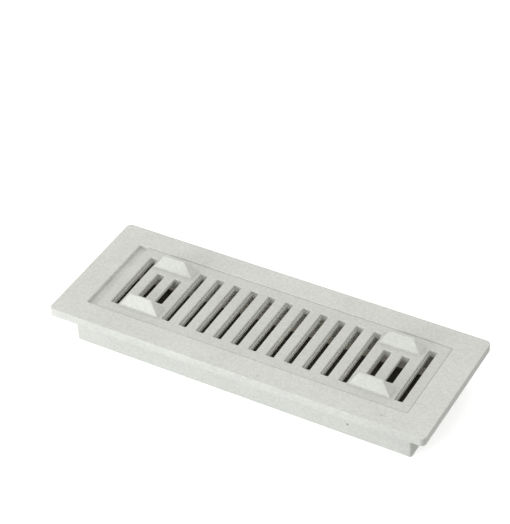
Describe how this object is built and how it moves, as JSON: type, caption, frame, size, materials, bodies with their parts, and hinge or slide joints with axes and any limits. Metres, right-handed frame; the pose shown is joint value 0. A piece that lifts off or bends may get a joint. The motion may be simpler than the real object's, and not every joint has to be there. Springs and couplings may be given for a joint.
{
  "type": "ventilation grille",
  "caption": "Closable rectangular wall grille: a flanged frame with a spigot and slotted bed, and a slotted shutter with finger grips that slides sideways to shut the slots.",
  "frame": {"origin": "middle of the spigot's rim, on which the grille stands", "axes": "+X along the grille and its row of slots, +Y across it along the slots, +Z out of the face into the room"},
  "size_m": [0.2524, 0.0934, 0.0357],
  "materials": {
    "frame_plastic": "fine satin grain, off-white",
    "shutter_plastic": "fine satin grain, off-white"
  },
  "bodies": {
    "frame": {"grille_frame": "frame_plastic"},
    "shutter": {"sliding_shutter": "shutter_plastic"}
  },
  "joints": [
    {"name": "shutter_slide", "type": "slide", "parent": "frame", "child": "shutter", "axis": [1, 0, 0], "range_m": [-0.006, 0]}
  ]
}
